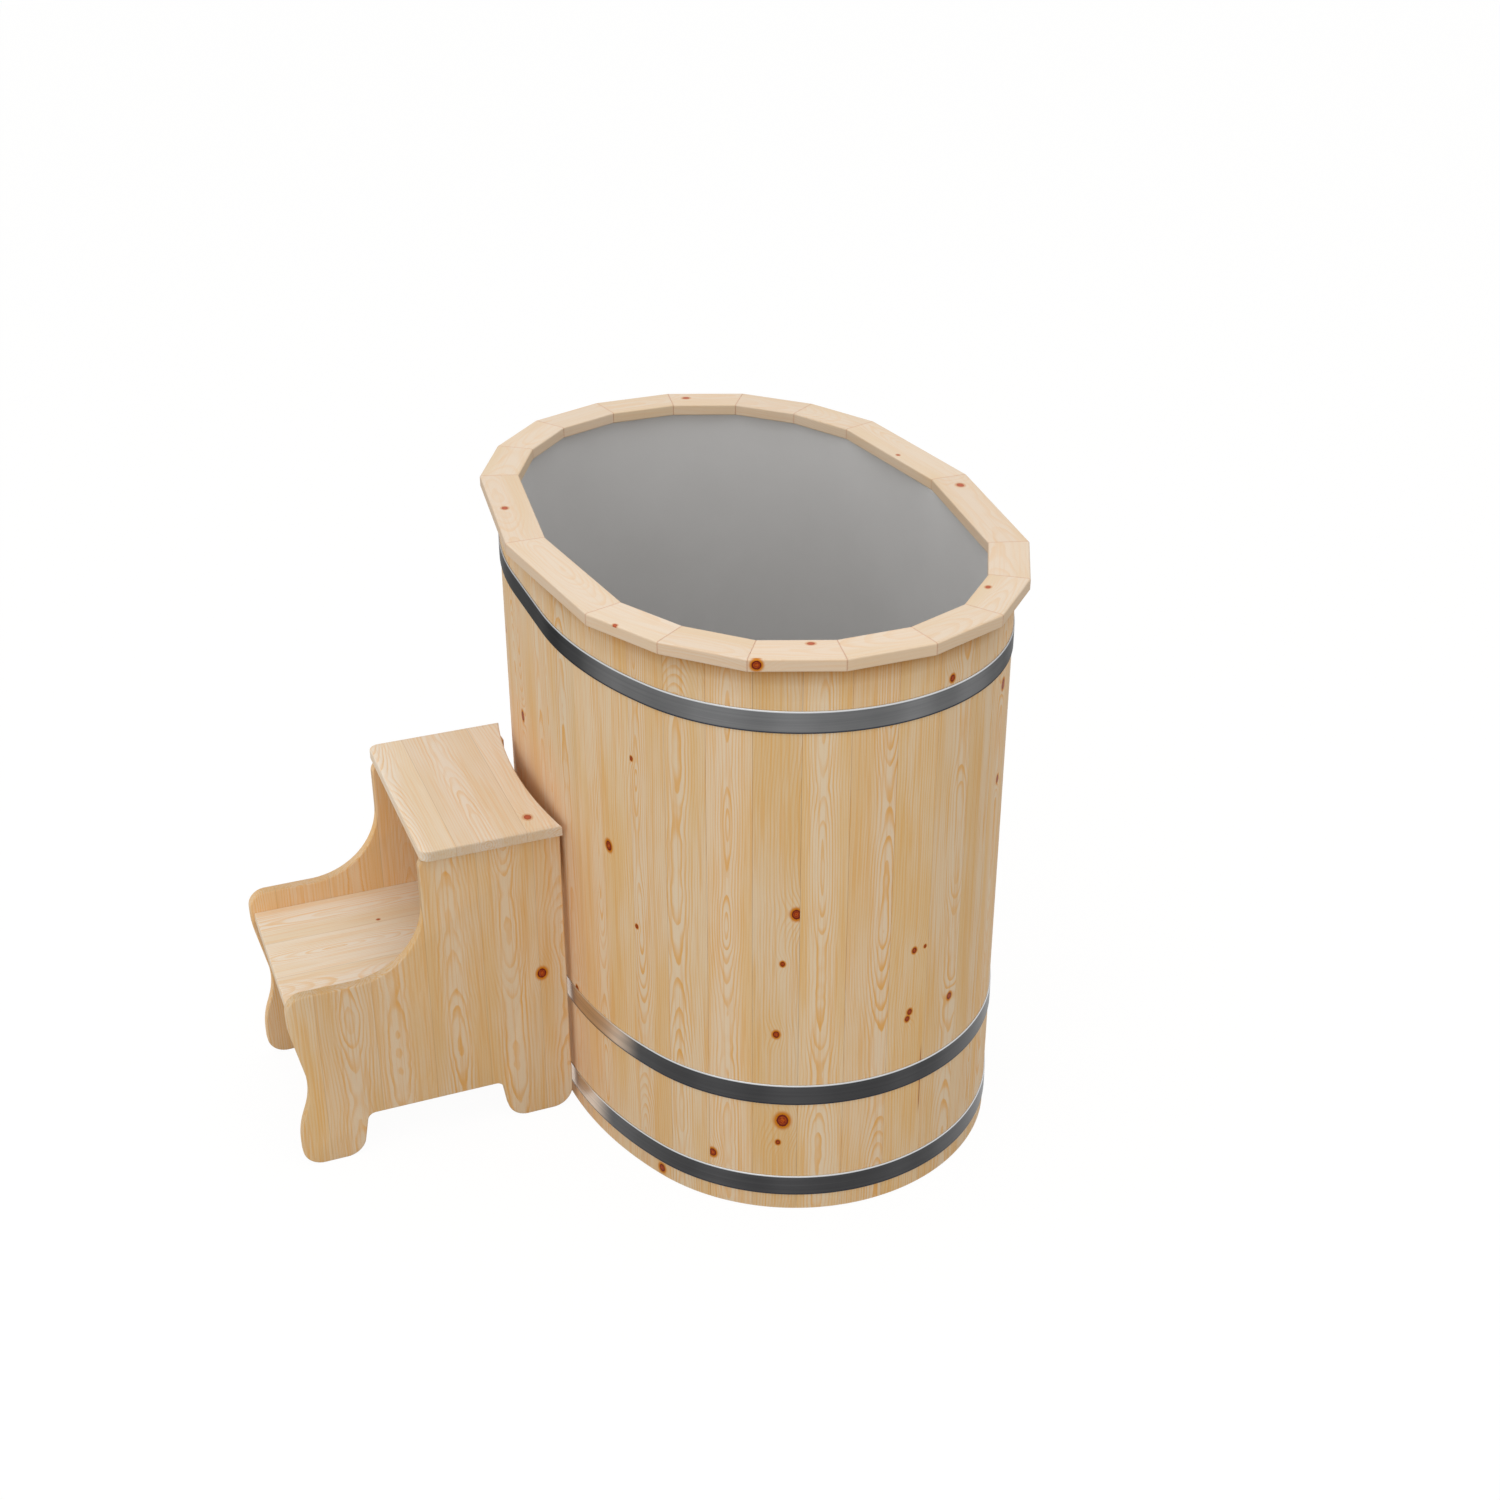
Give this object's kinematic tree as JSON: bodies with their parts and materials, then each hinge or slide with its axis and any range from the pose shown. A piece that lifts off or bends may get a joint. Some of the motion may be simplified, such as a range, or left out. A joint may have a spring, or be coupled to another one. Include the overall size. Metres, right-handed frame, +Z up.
{
  "type": "wooden plunge tub",
  "caption": "Oval wooden stave tub with steel hoops, mitred rim, grey liner and hidden drain valve, with a two-tread wooden step stool at its side.",
  "frame": {"origin": "centre of the underside of the middle bearer, at the middle of the tub, on the ground", "axes": "+Z up, +Y along the tub towards the drain end, -X towards the step stool"},
  "size_m": [1.241, 1.2315, 1],
  "materials": {
    "stave_pine": "planed pine, clear matt oil",
    "rim_pine": "planed pine, clear matt oil",
    "beech": "raw",
    "bearer_pine": "raw sawn pine",
    "floor_pine": "raw planed pine",
    "liner_plastic": "matt grey polypropylene",
    "hoop_steel": "brushed stainless",
    "fastener_steel": "satin",
    "gasket_rubber": "matt black",
    "drain_steel": "satin",
    "valve_brass": "satin",
    "grip_plastic": "black dip",
    "stool_pine": "planed pine, clear matt oil"
  },
  "bodies": {
    "tub": {"far_end_staves": "stave_pine", "right_side_staves": "stave_pine", "near_end_staves": "stave_pine", "left_side_staves": "stave_pine", "rim_piece_01": "rim_pine", "rim_piece_02": "rim_pine", "rim_piece_03": "rim_pine", "rim_piece_04": "rim_pine", "rim_piece_05": "rim_pine", "rim_piece_06": "rim_pine", "rim_piece_07": "rim_pine", "rim_piece_08": "rim_pine", "rim_piece_09": "rim_pine", "rim_piece_10": "rim_pine", "rim_piece_11": "rim_pine", "rim_piece_12": "rim_pine", "rim_piece_13": "rim_pine", "rim_piece_14": "rim_pine", "rim_piece_15": "rim_pine", "rim_piece_16": "rim_pine", "rim_piece_17": "rim_pine", "rim_piece_18": "rim_pine", "rim_biscuits": "beech", "rim_dowels": "beech", "near_bearer": "bearer_pine", "middle_bearer": "bearer_pine", "far_bearer": "bearer_pine", "floor_boards": "floor_pine", "liner": "liner_plastic", "upper_hoop": "hoop_steel", "upper_hoop_lugs": "hoop_steel", "middle_hoop": "hoop_steel", "middle_hoop_lugs": "hoop_steel", "lower_hoop": "hoop_steel", "lower_hoop_lugs": "hoop_steel", "hoop_bolts": "fastener_steel", "hoop_nuts": "fastener_steel", "drain_gasket": "gasket_rubber", "drain_strainer": "drain_steel", "drain_washer": "gasket_rubber", "drain_nut": "drain_steel", "valve_body": "valve_brass", "hose_adapter": "valve_brass"},
    "lever": {"valve_ball": "drain_steel", "valve_stem": "valve_brass", "valve_lever": "fastener_steel", "lever_grip": "grip_plastic", "lever_nut": "fastener_steel"},
    "stool": {"near_side_panel": "stool_pine", "far_side_panel": "stool_pine", "upper_tread": "stool_pine", "lower_tread": "stool_pine", "lower_tread_cleats": "stool_pine", "upper_tread_cleats": "stool_pine", "back_rail": "stool_pine", "cleat_screws": "fastener_steel"}
  },
  "joints": [
    {"name": "lever_hinge", "type": "hinge", "parent": "tub", "child": "lever", "pos_m": [0, 0.606, 0.136], "axis": [0, 0, 1], "range_deg": [0, 90]},
    {"name": "stool_slide", "type": "slide", "parent": "tub", "child": "stool", "axis": [-1, 0, 0], "range_m": [0, 0.4]}
  ]
}
